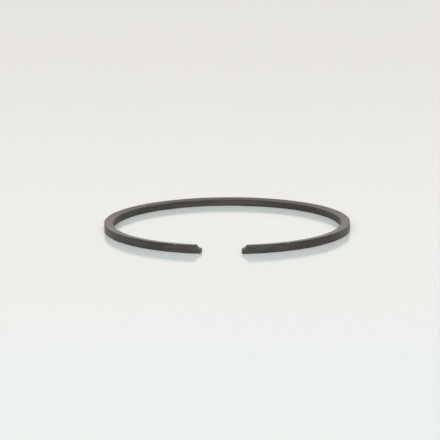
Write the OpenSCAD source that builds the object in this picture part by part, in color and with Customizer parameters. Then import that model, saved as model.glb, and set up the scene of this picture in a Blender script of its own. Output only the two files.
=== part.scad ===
// Half-keystone piston ring of a small engine, lying free, with its gap towards -Y.
// Such a ring is cut to a shape that turns truly round, and presses evenly on the wall,
// only once it is sprung closed in its bore. Free, it is flattest at the back, opposite
// the gap, and its curve tightens towards the ends. That outline is drawn here as a chain
// of arcs, each tangent to the next, worked out from the bore, the section and the gaps.
// The upper side falls towards the inside, so that the ring doesn't stick in its groove.
// The origin is the middle of the outline, in the plane of the lower side.

/* [Ring] */
// Diameter of the bore that the ring seals
bore_d = 44; // [30:0.5:80]
// Radial wall of the section
wall = 1.7; // [1.2:0.05:3]
// Axial height of the section at its outer face
height = 1.5; // [1:0.05:3]
// Angle at which the upper side falls towards the inside
upper_taper = 7; // [0:0.5:10]

/* [Joint] */
// Gap between the ends of the free ring, at the middle of the wall
free_gap = 7.1; // [3:0.1:12]
// Gap between the ends of the ring sprung closed in its bore
closed_gap = 0.2; // [0.1:0.05:0.5]

/* [Peg notch] */
// Radius of the round notch that clears the peg in the piston's groove
notch_r = 1.15; // [1:0.05:2]
// Depth of the notch below the upper edge of the outer face
notch_depth = 0.85; // [0.3:0.05:1.2]

/* [Edges] */
// Chamfer along both inside edges
inside_chamfer = 0.1; // [0.05:0.05:0.3]
// Sharp edge taken off both outside edges
outside_break = 0.05; // [0.02:0.01:0.15]

/* [Hidden] */
$fn = 180;

// Directions in which the outer face looks where one arc meets the next, on the right half.
// They lie on 3-4-5 triangles, and radii are kept to a thousandth of a millimetre, so that
// the arcs' centres fall on exact coordinates and neighbouring arcs share one whole face.
joints = [[0.8, 0.6], [1, 0], [0.8, -0.6]];
arcs = len(joints) + 1;

// Rounds that settle the opening which gives the free gap, and the closed angle of a point
gap_rounds = 6;
angle_rounds = 20;

// Radius of the middle of the wall with the ring closed, and its angle from back to end
middle_r = (bore_d - wall) / 2;
half_turn = 180 - closed_gap / middle_r * 90 / PI;

// Even pressure on the closed ring bends it most at the back and not at all at the ends.
// So free curvature is (1 - opening * (1 + cos(angle))) / middle_r at each closed angle,
// and this is how far the free ring's wall has then turned less than the closed one's.
function lag(angle, opening) = opening * (angle + sin(angle) * 180 / PI);

// Direction, turned from the back (+Y), in which the outer face looks at joint i
function heading(i, opening) =
    i == 0
    ? 0
    : i == arcs
    ? half_turn - lag(half_turn, opening)
    : atan2(joints[i - 1][0], joints[i - 1][1]);

// The same direction as a vector, with the back as joint 0 and the end face as the last
function outward(i, opening) =
    i == 0
    ? [0, 1]
    : i == arcs
    ? [sin(heading(i, opening)), cos(heading(i, opening))]
    : joints[i - 1];

// Angle on the closed ring of the point whose outer face, on the free ring, has this heading
function closed_angle(heading, opening, rounds = angle_rounds) =
    rounds < 1
    ? heading
    : heading + lag(closed_angle(heading, opening, rounds - 1), opening);

function thousandth(value) = round(value * 1000) / 1000;

// Radius of arc i at the middle of the wall
function arc_r(i, opening) =
    let (from = heading(i, opening))
    let (to = heading(i + 1, opening))
    let (turn = closed_angle(to, opening) - closed_angle(from, opening))
    thousandth(middle_r * turn / (to - from));

// Centre of arc i, measured from the centre of the arc at the back
function arc_centre(i, opening) =
    i == 0
    ? [0, 0]
    : arc_centre(i - 1, opening)
      + (arc_r(i - 1, opening) - arc_r(i, opening)) * outward(i, opening);

// Point of the right end face at this distance outwards from the middle of the wall
function end_point(opening, out) =
    arc_centre(arcs - 1, opening)
    + (arc_r(arcs - 1, opening) + out) * outward(arcs, opening);

// The opening at which the ends stand free_gap apart. The gap grows almost in step with it,
// so a first value from the small-opening rule is corrected by the ratio a few times.
function opening_for_gap(opening, rounds) =
    rounds < 1
    ? opening
    : opening_for_gap(opening * free_gap / (2 * end_point(opening, 0)[0]), rounds - 1);

opening = opening_for_gap(free_gap / (3 * PI * middle_r), gap_rounds);

// The outline runs in Y from the back of the outer face to the outer corners of the ends
back_y = arc_r(0, opening) + wall / 2;
front_y = end_point(opening, wall / 2)[1];

// Height of the notch's axis, and cuts long enough to pass right through the ring
notch_z = height - notch_depth + notch_r;
notch_length = 3 * wall;
sector_reach = 2 * bore_d;

// Height of the upper side at this distance in from the outer face
function upper_z(inwards) = height - inwards * tan(upper_taper);

// The section of the ring, with the middle of its wall at radius r
module section(r) {
    inner = r - wall / 2;
    outer = r + wall / 2;
    polygon([
        [inner + inside_chamfer, 0],
        [outer - outside_break, 0],
        [outer, outside_break],
        [outer, height - outside_break],
        [outer - outside_break, upper_z(outside_break)],
        [inner + inside_chamfer, upper_z(wall - inside_chamfer)],
        [inner, upper_z(wall) - inside_chamfer],
        [inner, inside_chamfer]
    ]);
}

// The block between two directions, from a corner at the centre out past the ring
module sector(from, to) {
    linear_extrude(height)
        polygon(sector_reach * [[0, 0], from, from + to, to]);
}

module half_ring() {
    for (i = [0 : arcs - 1])
        translate(arc_centre(i, opening))
            intersection() {
                rotate_extrude()
                    section(arc_r(i, opening));
                sector(outward(i, opening), outward(i + 1, opening));
            }
}

// The closed ring's two notches make one round pocket, so its axis lies past the end face
module end_notch() {
    translate(concat(end_point(opening, 0), notch_z))
        rotate(90 - heading(arcs, opening))
            translate([0, -closed_gap / 2, 0])
                rotate([0, 90, 0])
                    cylinder(r = notch_r, h = notch_length, center = true);
}

module piston_ring() {
    color("#5c5855")
        translate([0, -(back_y + front_y) / 2, 0])
            for (side = [0, 1])
                mirror([side, 0, 0])
                    difference() {
                        half_ring();
                        end_notch();
                    }
}

piston_ring();
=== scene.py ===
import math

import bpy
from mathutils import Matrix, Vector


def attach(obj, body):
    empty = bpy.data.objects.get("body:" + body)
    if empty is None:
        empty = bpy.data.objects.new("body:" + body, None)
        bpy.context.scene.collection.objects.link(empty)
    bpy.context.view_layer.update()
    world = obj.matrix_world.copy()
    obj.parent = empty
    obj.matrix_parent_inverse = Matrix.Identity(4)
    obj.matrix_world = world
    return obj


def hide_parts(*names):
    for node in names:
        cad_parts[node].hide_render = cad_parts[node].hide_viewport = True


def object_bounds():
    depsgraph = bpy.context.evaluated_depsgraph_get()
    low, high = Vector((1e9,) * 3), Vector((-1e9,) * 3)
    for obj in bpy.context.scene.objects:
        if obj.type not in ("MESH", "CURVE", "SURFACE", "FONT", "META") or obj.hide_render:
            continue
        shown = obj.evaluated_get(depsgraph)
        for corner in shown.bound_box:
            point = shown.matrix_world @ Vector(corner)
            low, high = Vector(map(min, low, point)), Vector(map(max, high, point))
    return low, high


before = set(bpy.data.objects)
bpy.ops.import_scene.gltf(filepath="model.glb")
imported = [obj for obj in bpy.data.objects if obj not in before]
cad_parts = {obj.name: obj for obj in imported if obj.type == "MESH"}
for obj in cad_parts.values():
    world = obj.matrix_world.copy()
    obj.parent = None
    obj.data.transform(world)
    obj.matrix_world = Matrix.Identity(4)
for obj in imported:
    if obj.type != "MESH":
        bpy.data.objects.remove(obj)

# %% [markdown]
# # A piston ring, modelled and finished in Blender
# A piston ring is a springy hoop of cast iron with a gap in it. It sits in a groove round the piston
# of an engine and seals it against the bore. The solid loaded above has the ring's real size, lies
# flat and has its gap towards -Y. This lesson models the same ring as a mesh with softened edges,
# gives it its dark phosphate finish, and sets a camera, a table and light around it.

MM = 0.001                                # the scene is in metres, and the ring's sizes in millimetres

solid_low, solid_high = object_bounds()
print("solid in mm:", [round(side / MM, 3) for side in solid_high - solid_low])

# %% [markdown]
# ## The camera
# The ring is seen from low down through a long lens, so its near and far halves close up into a
# thin oval. A constraint could aim the camera, but plain angles are easier to read and to change:
# the camera stands in a direction and at a distance from the ring's middle and looks at it, and is
# then turned a little until the middle falls on its place in the picture.

# %% Camera
PICTURE = 440                             # pixels along each side of the picture
MIDDLE_X, MIDDLE_Y = 227.16, 226.76       # pixel of the ring's middle, from the upper left corner
FOCAL_PIXELS = 1260                       # the lens's focal length, counted in those pixels
LOOK_DISTANCE = 241 * MM
LOOK_AZIMUTH = math.radians(2.62)         # to the right of the gap
LOOK_ELEVATION = math.radians(12.02)      # above the table
LOOK_ROLL = math.radians(-0.33)

reach = LOOK_DISTANCE * math.cos(LOOK_ELEVATION)
bpy.ops.object.camera_add(
    location=(
        reach * math.sin(LOOK_AZIMUTH),
        -reach * math.cos(LOOK_AZIMUTH),
        LOOK_DISTANCE * math.sin(LOOK_ELEVATION),
    ),
    rotation=(math.pi / 2 - LOOK_ELEVATION, 0, LOOK_AZIMUTH),
)
camera = bpy.context.object
camera.data.lens = camera.data.sensor_width * FOCAL_PIXELS / PICTURE
camera.rotation_euler.rotate_axis("Z", LOOK_ROLL)
camera.rotation_euler.rotate_axis("Y", math.atan((MIDDLE_X - PICTURE / 2) / FOCAL_PIXELS))
camera.rotation_euler.rotate_axis("X", math.atan((MIDDLE_Y - PICTURE / 2) / FOCAL_PIXELS))
bpy.context.scene.camera = camera
print("lens in mm:", round(camera.data.lens, 1))

# %% [markdown]
# ## The free shape of the ring
# A ring that is round when it lies free would press unevenly once it is sprung closed. So a real one
# is cut to a shape that turns round only inside its bore: flattest at the back, opposite the gap,
# and curved more and more tightly towards its ends. A circle pulled into an oval would come close,
# but it would be wrong at the ends. Even pressure on the closed ring bends it most at the back and
# not at all at the ends, which gives the rule below. The rule is followed in many short arcs, each
# with its own centre, because an arc is what Blender's Spin makes.

# %% Sizes of the ring
BORE = 44 * MM
WALL = 1.7 * MM                           # radial width of the section
HEIGHT = 1.5 * MM                         # at the outer face
FREE_GAP = 7.1 * MM                       # between the ends as the ring lies, at mid-wall
CLOSED_GAP = 0.2 * MM                     # between the ends in the bore

middle_r = (BORE - WALL) / 2              # mid-wall radius of the closed ring
half_turn = math.pi - CLOSED_GAP / 2 / middle_r
back = Vector((0, solid_high.y - WALL / 2, HEIGHT / 2))
print("closed ring, mid-wall radius in mm:", round(middle_r / MM, 3))

# %% Arcs of the free shape
ARCS = 120                                # on each half
CORRECTIONS = 6                           # rounds that settle how far the ring opens


def heading(angle, opening):
    """Direction, turned from the back, in which the free outer face looks at this closed angle."""
    return angle - opening * (angle + math.sin(angle))


def outward(turned):
    """The direction that lies this far round from the back, as a vector."""
    return Vector((math.sin(turned), math.cos(turned), 0))


def free_half(opening):
    """Centre and turn of each arc of the right half, from the back to the end, and the end's middle."""
    point = back.copy()
    arcs = []
    for step in range(ARCS):
        start = heading(half_turn * step / ARCS, opening)
        stop = heading(half_turn * (step + 1) / ARCS, opening)
        radius = middle_r * half_turn / ARCS / (stop - start)
        centre = point - radius * outward(start)
        point = centre + radius * outward(stop)
        arcs.append((centre, stop - start))
    return arcs, point


# A small opening leaves a gap of 3 pi times the radius times the opening. The gap grows almost in
# step with the opening, so a few corrections by their ratio settle it.
opening = FREE_GAP / (3 * math.pi * middle_r)
for correction in range(CORRECTIONS):
    arcs, end_middle = free_half(opening)
    opening *= FREE_GAP / (2 * end_middle.x)
end_turn = heading(half_turn, opening)
print("gap in mm:", round(2 * end_middle.x / MM, 4), "end at", [round(v / MM, 3) for v in end_middle])

# %% [markdown]
# ## Picking by place
# An operator works on all that is selected, and what was added last is still selected. By hand, the
# points to work on would be clicked. Here everything is deselected first, and the points are then
# found by where they lie, which still works when a size changes. Two helpers do that, and a third
# counts what an operator left behind.

# %% Helpers for working on one mesh


def edit_only(piece):
    """Makes this piece the only selected one and opens it in edit mode with nothing picked."""
    if bpy.context.mode != "OBJECT":
        bpy.ops.object.mode_set(mode="OBJECT")
    bpy.ops.object.select_all(action="DESELECT")
    piece.select_set(True)
    bpy.context.view_layer.objects.active = piece
    bpy.ops.object.mode_set(mode="EDIT")
    bpy.ops.mesh.select_all(action="DESELECT")


def pick_points(piece, wanted):
    """Picks, in edit mode, the points whose place passes a test."""
    edit_only(piece)
    bpy.ops.mesh.select_mode(type="VERT")
    bpy.ops.object.mode_set(mode="OBJECT")
    for point in piece.data.vertices:
        point.select = wanted(point.co)
    bpy.ops.object.mode_set(mode="EDIT")


def count(piece):
    """Points and faces of a piece, once it is out of edit mode."""
    bpy.ops.object.mode_set(mode="OBJECT")
    return f"{piece.name}: {len(piece.data.vertices)} points, {len(piece.data.polygons)} faces"


print("still selected:", [piece.name for piece in bpy.context.selected_objects])

# %% [markdown]
# ## The section
# This is a half-keystone ring: its lower side is flat, and its upper side falls towards the inside,
# so that the ring works itself loose in its groove instead of sticking in burnt oil. A plane is stood
# up at the back of the ring and brought to size, and its inner upper corner is moved down to make the
# slope. Its corners are then bevelled as vertices: small chamfers inside, which clear the corners of
# the groove, and rounds outside, because no ground edge is perfectly sharp and a round catches light.
# The long edges of the finished ring could be bevelled instead, but four corners are quicker to pick.

# %% The bevelled section at the back of the ring
UPPER_TAPER = math.radians(7)
INSIDE_CHAMFER = 0.1 * MM
CHAMFER_ROUND = 0.03 * MM                 # softens the two edges of each chamfer
CHAMFER_ROUND_FACES = 2
OUTSIDE_ROUND = 0.05 * MM
OUTSIDE_ROUND_FACES = 3
HAIR = 0.001 * MM                         # slack for finding points by their place

bpy.ops.object.select_all(action="DESELECT")
bpy.ops.mesh.primitive_plane_add(size=1, location=back, rotation=(0, math.pi / 2, 0))
ring = bpy.context.object
ring.name = "split_ring"
bpy.ops.object.transform_apply(location=True, rotation=True, scale=True)
edit_only(ring)
bpy.ops.mesh.select_all(action="SELECT")
bpy.ops.transform.resize(value=(1, WALL, HEIGHT), center_override=back)
pick_points(ring, lambda place: place.y < back.y and place.z > back.z)
bpy.ops.transform.translate(value=(0, 0, -WALL * math.tan(UPPER_TAPER)))

pick_points(ring, lambda place: place.y < back.y)
bpy.ops.mesh.bevel(
    offset=INSIDE_CHAMFER, offset_type="OFFSET", affect="VERTICES", segments=1)
pick_points(ring, lambda place: place.y < back.y)
bpy.ops.mesh.bevel(
    offset=CHAMFER_ROUND, offset_type="OFFSET", affect="VERTICES", segments=CHAMFER_ROUND_FACES)
pick_points(ring, lambda place: place.y > back.y + WALL / 2 - HAIR)
bpy.ops.mesh.bevel(
    offset=OUTSIDE_ROUND, offset_type="OFFSET", affect="VERTICES", segments=OUTSIDE_ROUND_FACES)
print(count(ring))

# %% [markdown]
# ## Half of the ring
# The section is now swept along the free shape. A curve with a bevel object would do it too, but it
# would smooth over the rule that was just worked out. Spin turns the picked section about a centre
# and leaves the new end picked, so one spin after another, each about the centre of its own arc,
# draws the right half of the ring from the back to its end.

# %% Spin along the free shape
edit_only(ring)
bpy.ops.mesh.select_all(action="SELECT")
for centre, turn in arcs:
    bpy.ops.mesh.spin(steps=1, angle=turn, center=(centre.x, centre.y, 0), axis=(0, 0, 1))
print(count(ring))

# %% [markdown]
# ## The peg notch
# A small peg in the piston's groove keeps the ring's gap away from the ports. Each end has a round
# notch in its upper corner to clear it, and with the ring closed the two make one pocket. A grinding
# wheel cuts that pocket straight across the wall. Points could be moved down to a round by hand, but
# a Boolean cuts it as the wheel does: with a cylinder that lies along the end face, with its axis
# half a closed gap beyond it.

# %% Notch in the end
NOTCH_R = 1.15 * MM
NOTCH_DEPTH = 0.85 * MM
CUTTER_SIDES = 128
CUTTER_LENGTH = 3 * WALL                  # passes right through the wall

past_end = Vector((math.cos(end_turn), -math.sin(end_turn), 0))
axis_place = end_middle + CLOSED_GAP / 2 * past_end
axis_place.z = HEIGHT - NOTCH_DEPTH + NOTCH_R
bpy.ops.object.select_all(action="DESELECT")
bpy.ops.mesh.primitive_cylinder_add(
    vertices=CUTTER_SIDES, radius=NOTCH_R, depth=CUTTER_LENGTH,
    location=axis_place, rotation=(math.pi / 2, 0, -end_turn),
)
cutter = bpy.context.object

bpy.ops.object.select_all(action="DESELECT")
ring.select_set(True)
bpy.context.view_layer.objects.active = ring
bpy.ops.object.modifier_add(type="BOOLEAN")
notch = ring.modifiers[-1]
notch.operation = "DIFFERENCE"
notch.solver = "EXACT"
notch.object = cutter
bpy.ops.object.modifier_apply(modifier=notch.name)
bpy.data.objects.remove(cutter)
print("notched", count(ring))

# %% [markdown]
# ## Soft edges at the end
# The end face and the notch meet the other faces in knife edges, which no real part keeps: they are
# deburred. These edges could be picked one by one. But once the wall that closes the half at the back
# comes off, they are the only sharp ones left, so they are picked by their sharpness and get a bevel
# of a few hundredths of a millimetre.

# %% Open the back and soften the end
END_ROUND = 0.03 * MM
END_ROUND_FACES = 2
SHARP = math.radians(40)

pick_points(ring, lambda place: abs(place.x) < HAIR)
bpy.ops.mesh.delete(type="ONLY_FACE")
edit_only(ring)
bpy.ops.mesh.select_mode(type="EDGE")
bpy.ops.mesh.edges_select_sharp(sharpness=SHARP)
bpy.ops.mesh.bevel(
    offset=END_ROUND, offset_type="OFFSET", affect="EDGES", segments=END_ROUND_FACES)
print("softened", count(ring))

# %% [markdown]
# ## The whole ring
# The left half could be made by the same steps again, but a Mirror modifier is sure to match. The two
# halves share the points at the back, which are merged, and the faces are then made to look outwards.
# Smooth shading with a limit keeps the corners crisp, and weighted normals let the wide faces stay
# flat beside their rounds, which would otherwise shade as if they were puffed up.

# %% Mirror and merge
MERGE = 0.0002 * MM                       # points closer than this become one

bpy.ops.object.modifier_add(type="MIRROR")
halves = ring.modifiers[-1]
halves.use_axis = (True, False, False)
halves.use_mirror_merge = True
halves.merge_threshold = MERGE
bpy.ops.object.modifier_apply(modifier=halves.name)
edit_only(ring)
bpy.ops.mesh.select_all(action="SELECT")
bpy.ops.mesh.remove_doubles(threshold=MERGE)
bpy.ops.mesh.normals_make_consistent(inside=False)
bpy.ops.mesh.select_all(action="DESELECT")
bpy.ops.mesh.select_mode(type="EDGE")
bpy.ops.mesh.select_non_manifold()
bpy.ops.object.mode_set(mode="OBJECT")
print("open edges:", sum(edge.select for edge in ring.data.edges))

# %% Smooth shading
bpy.ops.object.shade_smooth_by_angle(angle=SHARP)
bpy.ops.object.modifier_add(type="WEIGHTED_NORMAL")
flats = ring.modifiers[-1]
flats.keep_sharp = True
bpy.ops.object.modifier_apply(modifier=flats.name)
print("whole", count(ring))

# %% [markdown]
# ## Colours and nodes
# Colours are written as the hex values that a colour picker shows and turned into the linear values
# that the shader works with. Nodes could be added and linked line by line, but that soon hides what a
# material is made of. One function adds a node, sets what it is told, and links what it is given, so
# that each material below reads as a list.

# %% Helpers for materials


def linear(code):
    """Linear RGBA of a colour written as #rrggbb."""
    shares = [int(code[place:place + 2], 16) / 255 for place in (1, 3, 5)]
    return [s / 12.92 if s <= 0.04045 else ((s + 0.055) / 1.055) ** 2.4 for s in shares] + [1]


def add_node(tree, kind, inputs=None, **settings):
    """Adds a node, sets its options, and fills its inputs with values or with links."""
    node = tree.nodes.new(kind)
    for option, value in settings.items():
        setattr(node, option, value)
    for socket, value in (inputs or {}).items():
        if isinstance(value, bpy.types.NodeSocket):
            tree.links.new(value, node.inputs[socket])
        else:
            node.inputs[socket].default_value = value
    return node


def new_material(name):
    """An empty node material and its tree."""
    material = bpy.data.materials.new(name)
    material.use_nodes = True
    material.node_tree.nodes.clear()
    return material, material.node_tree


MIX_FACTOR, MIX_A, MIX_B, MIX_COLOUR = 0, 6, 7, 2     # sockets of a Mix node that mixes colours

print("mid grey, #808080, is", round(linear("#808080")[0], 3), "in linear light")

# %% [markdown]
# ## The finish of the ring
# Manganese phosphate is a thin layer of dark crystals grown on the iron. It holds oil and helps a
# new ring to run in. To the eye it is a warm, nearly black grey. A picture of such a layer could be
# wrapped round the ring, but noise needs no file and stays sharp from close by. Noise stretched round
# the ring gives the turning marks, and two noises in plain space give the grain of the crystals, with
# painted shade in the hollows between them, and the uneven uptake of oil. The angle round the ring
# jumps only at the front, where the gap is, so the marks show no seam.

# %% Places along and across the ring
TURN_PITCH = 0.22 * MM                    # real marks are near 0.03 mm, drawn coarser to show
TURN_LENGTH = 9 * MM
TURN_SHIFT = 5                            # in lengths of a mark, picks which stretch of noise is used

phosphate, tree = new_material("manganese_phosphate_on_cast_iron")
places = add_node(tree, "ShaderNodeTexCoord")
place = places.outputs["Object"]
sides = add_node(tree, "ShaderNodeSeparateXYZ", {"Vector": place})
flat = add_node(tree, "ShaderNodeVectorMath", {0: place, 1: (1, 1, 0)}, operation="MULTIPLY")
radius = add_node(tree, "ShaderNodeVectorMath", {0: flat.outputs[0]}, operation="LENGTH")
angle = add_node(tree, "ShaderNodeMath", {0: sides.outputs["X"], 1: sides.outputs["Y"]},
                 operation="ARCTAN2")
along = add_node(tree, "ShaderNodeMath", {0: angle.outputs[0], 1: middle_r}, operation="MULTIPLY")
round_place = add_node(tree, "ShaderNodeCombineXYZ", {
    "X": radius.outputs["Value"], "Y": along.outputs[0], "Z": sides.outputs["Z"]})
turned_place = add_node(tree, "ShaderNodeMapping", {
    "Vector": round_place.outputs[0], "Location": (0, TURN_SHIFT, 0),
    "Scale": (1 / TURN_PITCH, 1 / TURN_LENGTH, 1 / TURN_PITCH)})
print("a turning mark spans", round(math.degrees(TURN_LENGTH / middle_r)), "degrees of the ring")

# %% Turning marks, crystals and patches of oil
CRYSTAL = 0.35 * MM                       # real crystals are near 0.01 mm, drawn coarser to show
CLOUD = 6 * MM                            # patches where the layer took up more or less oil
MARK_LAYERS, CRYSTAL_LAYERS, CLOUD_LAYERS = 2, 3, 3   # finer layers that each noise adds to its first
FINE_SHARE, CLOUD_SHARE = 0.6, 0.55       # strength of each finer layer beside the one before

turning = add_node(tree, "ShaderNodeTexNoise", {
    "Vector": turned_place.outputs[0], "Scale": 1, "Detail": MARK_LAYERS, "Roughness": FINE_SHARE})
crystals = add_node(tree, "ShaderNodeTexNoise", {
    "Vector": place, "Scale": 1 / CRYSTAL, "Detail": CRYSTAL_LAYERS, "Roughness": FINE_SHARE})
clouds = add_node(tree, "ShaderNodeTexNoise", {
    "Vector": place, "Scale": 1 / CLOUD, "Detail": CLOUD_LAYERS, "Roughness": CLOUD_SHARE})
print("patterns:", sum(node.bl_idname == "ShaderNodeTexNoise" for node in tree.nodes))

# %% Colour of the layer, with painted shade between the crystals
OILED, DRIER = "#302f2d", "#3a3532"       # the layer with more oil in it, and with less
CREST = "#514c47"                         # crests of the turning marks, which are lighter
# painted shade in the hollows between the crystals
HOLLOW_SHADE = "#252320"
OILED_BELOW, DRIER_ABOVE = 0.35, 0.65     # noise past which the layer is wholly the one or the other
SPOT_START, SPOT_FULL = 0.45, 0.68        # noise at which a crest or the painted shade between crystals starts and is full
SPOT_SHARE = 0.8                          # how much of the layer's colour it then covers

drying = add_node(tree, "ShaderNodeMapRange", {
    "Value": clouds.outputs[0], "From Min": OILED_BELOW, "From Max": DRIER_ABOVE})
layer = add_node(tree, "ShaderNodeMix", {
    MIX_FACTOR: drying.outputs[0], MIX_A: linear(OILED), MIX_B: linear(DRIER)},
    data_type="RGBA")
crests = add_node(tree, "ShaderNodeMapRange", {
    "Value": turning.outputs[0], "From Min": SPOT_START, "From Max": SPOT_FULL, "To Max": SPOT_SHARE})
crested = add_node(tree, "ShaderNodeMix", {
    MIX_FACTOR: crests.outputs[0], MIX_A: layer.outputs[MIX_COLOUR], MIX_B: linear(CREST)},
    data_type="RGBA")
# painted shade: the layer is darkened where the crystal noise is high, standing for shade in the hollows
hollow_shade = add_node(tree, "ShaderNodeMapRange", {
    "Value": crystals.outputs[0], "From Min": SPOT_START, "From Max": SPOT_FULL, "To Max": SPOT_SHARE})
with_hollow_shade = add_node(tree, "ShaderNodeMix", {
    MIX_FACTOR: hollow_shade.outputs[0], MIX_A: crested.outputs[MIX_COLOUR], MIX_B: linear(HOLLOW_SHADE)},
    data_type="RGBA")
print("colours mixed:", sum(node.bl_idname == "ShaderNodeMix" for node in tree.nodes))

# %% [markdown]
# ### Nicks
# The outer edge of the upper side is the sharpest edge of the ring, and rings are shipped in bundles.
# Where another ring has knocked against it, a speck of bare, lighter iron shows through the layer.
# Such a nick could be cut into the mesh, but at this size only its colour shows. So each one is a
# spot of lighter colour that fades out with the distance from a point on the edge.

# %% Two nicks in the outer edge
NICKS = ((-8.19 * MM, -21.62 * MM), (11.63 * MM, -20.13 * MM))     # X and Y of each, on the edge
NICK_SIZE = 0.3 * MM
BARE_IRON = "#8f8a86"

from_nicks = [
    add_node(tree, "ShaderNodeVectorMath", {0: place, 1: (*nick, HEIGHT)}, operation="DISTANCE")
    for nick in NICKS]
nearest = add_node(tree, "ShaderNodeMath", {
    0: from_nicks[0].outputs["Value"], 1: from_nicks[1].outputs["Value"]}, operation="MINIMUM")
bare = add_node(tree, "ShaderNodeMapRange", {
    "Value": nearest.outputs[0], "From Max": NICK_SIZE, "To Min": 1, "To Max": 0})
colour = add_node(tree, "ShaderNodeMix", {
    MIX_FACTOR: bare.outputs[0], MIX_A: with_hollow_shade.outputs[MIX_COLOUR], MIX_B: linear(BARE_IRON)},
    data_type="RGBA")
print("nicks:", len(from_nicks))

# %% [markdown]
# ### Gloss and relief
# The sides of a ring are ground, so the layer lies smooth on them and shines like satin at a low
# angle, while the turned inner and outer faces stay dull. Each kind of face could have a material of
# its own, but then the gloss would change at a hard line. Here the roughness follows the way a face
# looks, so it blends over the rounds between them. The marks and crystals are only a few thousandths
# of a millimetre high, too shallow to model, so they are bump.

# %% Ground sides, turned faces and the shader
INSIDE = 0.5                              # roughness of the turned inner face
RUNNING = 0.45                            # of the outer face, turned finer, which runs on the bore
GROUND = 0.31                             # of the ground upper and lower sides
LEAN = BORE / 4                           # normal times place, past which a face is inner or outer
GROUND_START, GROUND_FULL = 0.8, 0.95     # height of the normal at which a ground side starts and is full
RELIEF = 0.006 * MM
RELIEF_STRENGTH = 0.5
LAYER_IOR = 1.42                          # oil has 1.47, and the rough layer mirrors a little less

facing = places.outputs["Normal"]
outwards = add_node(tree, "ShaderNodeVectorMath", {0: facing, 1: place}, operation="DOT_PRODUCT")
turned = add_node(tree, "ShaderNodeMapRange", {
    "Value": outwards.outputs["Value"], "From Min": -LEAN, "From Max": LEAN,
    "To Min": INSIDE, "To Max": RUNNING})
upright = add_node(tree, "ShaderNodeSeparateXYZ", {"Vector": facing})
level = add_node(tree, "ShaderNodeMath", {0: upright.outputs["Z"]}, operation="ABSOLUTE")
satin = add_node(tree, "ShaderNodeMapRange", {
    "Value": level.outputs[0], "From Min": GROUND_START, "From Max": GROUND_FULL,
    "To Min": turned.outputs[0], "To Max": GROUND})
relief = add_node(tree, "ShaderNodeMath", {0: turning.outputs[0], 1: crystals.outputs[0]},
                  operation="ADD")
bump = add_node(tree, "ShaderNodeBump", {
    "Height": relief.outputs[0], "Strength": RELIEF_STRENGTH, "Distance": RELIEF})
shader = add_node(tree, "ShaderNodeBsdfPrincipled", {
    "Base Color": colour.outputs[MIX_COLOUR],
    "Roughness": satin.outputs[0],
    "Normal": bump.outputs[0],
    "IOR": LAYER_IOR,
})
add_node(tree, "ShaderNodeOutputMaterial", {"Surface": shader.outputs[0]})
ring.data.materials.append(phosphate)
print(phosphate.name, "has", len(tree.nodes), "nodes")

# %% [markdown]
# ## The table
# The ring lies on a pale pane: white seen through clear glass, with the faint green of glass. Such a
# pane mirrors little from above and much at a low angle, so the ring stands on a soft mirror image
# of itself. A sheet of glass over a white one could be modelled, but then the shadow falls on the
# lower sheet and the ring seems to float. One glossy surface with a white base keeps the shadow at
# the ring's foot. The plane lies a hair below the ring, so that the two never share a surface.

# %% Table
TABLE_SIZE = 4.0                          # metres
TABLE_DROP = 0.02 * MM
PANE_COLOUR = "#dce4e1"
PANE_ROUGHNESS = 0.12                     # not quite clear, so that the mirror image is soft
PANE_IOR = 1.62                           # glass has about 1.52, raised to match how much it mirrors

bpy.ops.object.select_all(action="DESELECT")
bpy.ops.mesh.primitive_plane_add(size=TABLE_SIZE, location=(0, 0, -TABLE_DROP))
table = bpy.context.object
table.name = "table"
bpy.ops.object.transform_apply(location=True, rotation=True, scale=True)

pane, pane_tree = new_material("white_backed_glass")
pane_shader = add_node(pane_tree, "ShaderNodeBsdfPrincipled", {
    "Base Color": linear(PANE_COLOUR), "Roughness": PANE_ROUGHNESS, "IOR": PANE_IOR})
add_node(pane_tree, "ShaderNodeOutputMaterial", {"Surface": pane_shader.outputs[0]})
table.data.materials.append(pane)
print("table", TABLE_SIZE, "m across")

# %% [markdown]
# ## The studio
# A bright, slightly warm backdrop behind the ring, a little darker at its foot, is what the pane and
# the ground upper side mirror. The ceiling of the studio is dimmer, and the rest of it is darker still.
# Large panels could stand for them, but a world whose colour follows the direction it is seen in is
# simpler and throws no shadow. The direction is a vector of length 1: its Y tells how far to the back
# of the studio the eye looks, and its Z how high.

# %% World
BACKDROP_FOOT, BACKDROP = "#e8e8e2", "#fceeeb"
DARK_REST, CEILING = "#606060", "#b0b0b0"
FOOT_TOP = 0.2                            # Z at which the backdrop has its full colour
BACKDROP_START, BACKDROP_FULL = -0.1, 0.7     # Y at which the backdrop starts and is full
CEILING_START, CEILING_FULL = 0.2, 0.7    # Z at which the ceiling starts and is full
STUDIO_STRENGTH = 1.09

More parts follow.
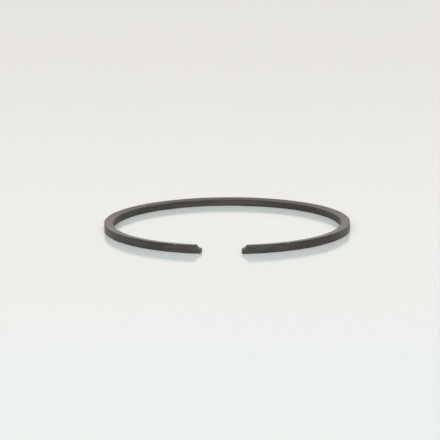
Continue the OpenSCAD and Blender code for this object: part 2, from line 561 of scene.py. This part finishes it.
scene = bpy.context.scene
scene.view_settings.view_transform = "Standard"
scene.world = bpy.data.worlds.new("bright_studio")
scene.world.use_nodes = True
studio_tree = scene.world.node_tree
studio_tree.nodes.clear()
direction = add_node(studio_tree, "ShaderNodeTexCoord").outputs["Generated"]
seen = add_node(studio_tree, "ShaderNodeSeparateXYZ", {"Vector": direction})
rise = add_node(studio_tree, "ShaderNodeMapRange", {"Value": seen.outputs["Z"], "From Max": FOOT_TOP})
backdrop = add_node(studio_tree, "ShaderNodeMix", {
    MIX_FACTOR: rise.outputs[0], MIX_A: linear(BACKDROP_FOOT), MIX_B: linear(BACKDROP)},
    data_type="RGBA")
behind = add_node(studio_tree, "ShaderNodeMapRange", {
    "Value": seen.outputs["Y"], "From Min": BACKDROP_START, "From Max": BACKDROP_FULL})
around = add_node(studio_tree, "ShaderNodeMix", {
    MIX_FACTOR: behind.outputs[0], MIX_A: linear(DARK_REST), MIX_B: backdrop.outputs[MIX_COLOUR]},
    data_type="RGBA")
overhead = add_node(studio_tree, "ShaderNodeMapRange", {
    "Value": seen.outputs["Z"], "From Min": CEILING_START, "From Max": CEILING_FULL})
studio = add_node(studio_tree, "ShaderNodeMix", {
    MIX_FACTOR: overhead.outputs[0], MIX_A: around.outputs[MIX_COLOUR], MIX_B: linear(CEILING)},
    data_type="RGBA")
air = add_node(studio_tree, "ShaderNodeBackground", {
    "Color": studio.outputs[MIX_COLOUR], "Strength": STUDIO_STRENGTH})
add_node(studio_tree, "ShaderNodeOutputWorld", {"Surface": air.outputs[0]})
print("world", scene.world.name, "has", len(studio_tree.nodes), "nodes")

# %% [markdown]
# ## The lamp
# One large soft lamp in front of the ring and above it does most of the work: it lights the faces
# that look at the camera, and the shadows fall behind the ring, where they are hidden. A softbox is
# brightest in its middle and fades towards its rim. One area lamp would end in a hard outline, which
# the pane mirrors in views from behind, so a stack of discs of growing size makes the fade.

# %% Lamp
LAMP_PLACE = Vector((0, -0.8, 0.66))      # metres
LAMP_POWER = 15.2                         # watts, of all the discs together
DISC_SIZES = (1.1, 1.25, 1.4, 1.55, 1.7)  # metres
DISC_GAP = 0.005                          # metres from one disc back to the next larger one

all_discs = sum(size ** 2 for size in DISC_SIZES)
for order, size in enumerate(DISC_SIZES):
    disc_place = LAMP_PLACE + order * DISC_GAP * LAMP_PLACE.normalized()
    bpy.ops.object.light_add(type="AREA", location=disc_place)
    disc = bpy.context.object
    disc.data.shape = "DISK"
    disc.data.size = size
    disc.data.energy = LAMP_POWER * size ** 2 / all_discs
    disc.rotation_euler = (-disc_place).to_track_quat("-Z", "Y").to_euler()
print("lamp of", len(DISC_SIZES), "discs at", [round(v, 2) for v in LAMP_PLACE])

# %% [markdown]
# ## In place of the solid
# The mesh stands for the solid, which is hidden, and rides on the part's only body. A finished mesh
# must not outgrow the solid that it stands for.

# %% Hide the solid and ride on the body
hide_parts("piston_ring")
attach(ring, "root")
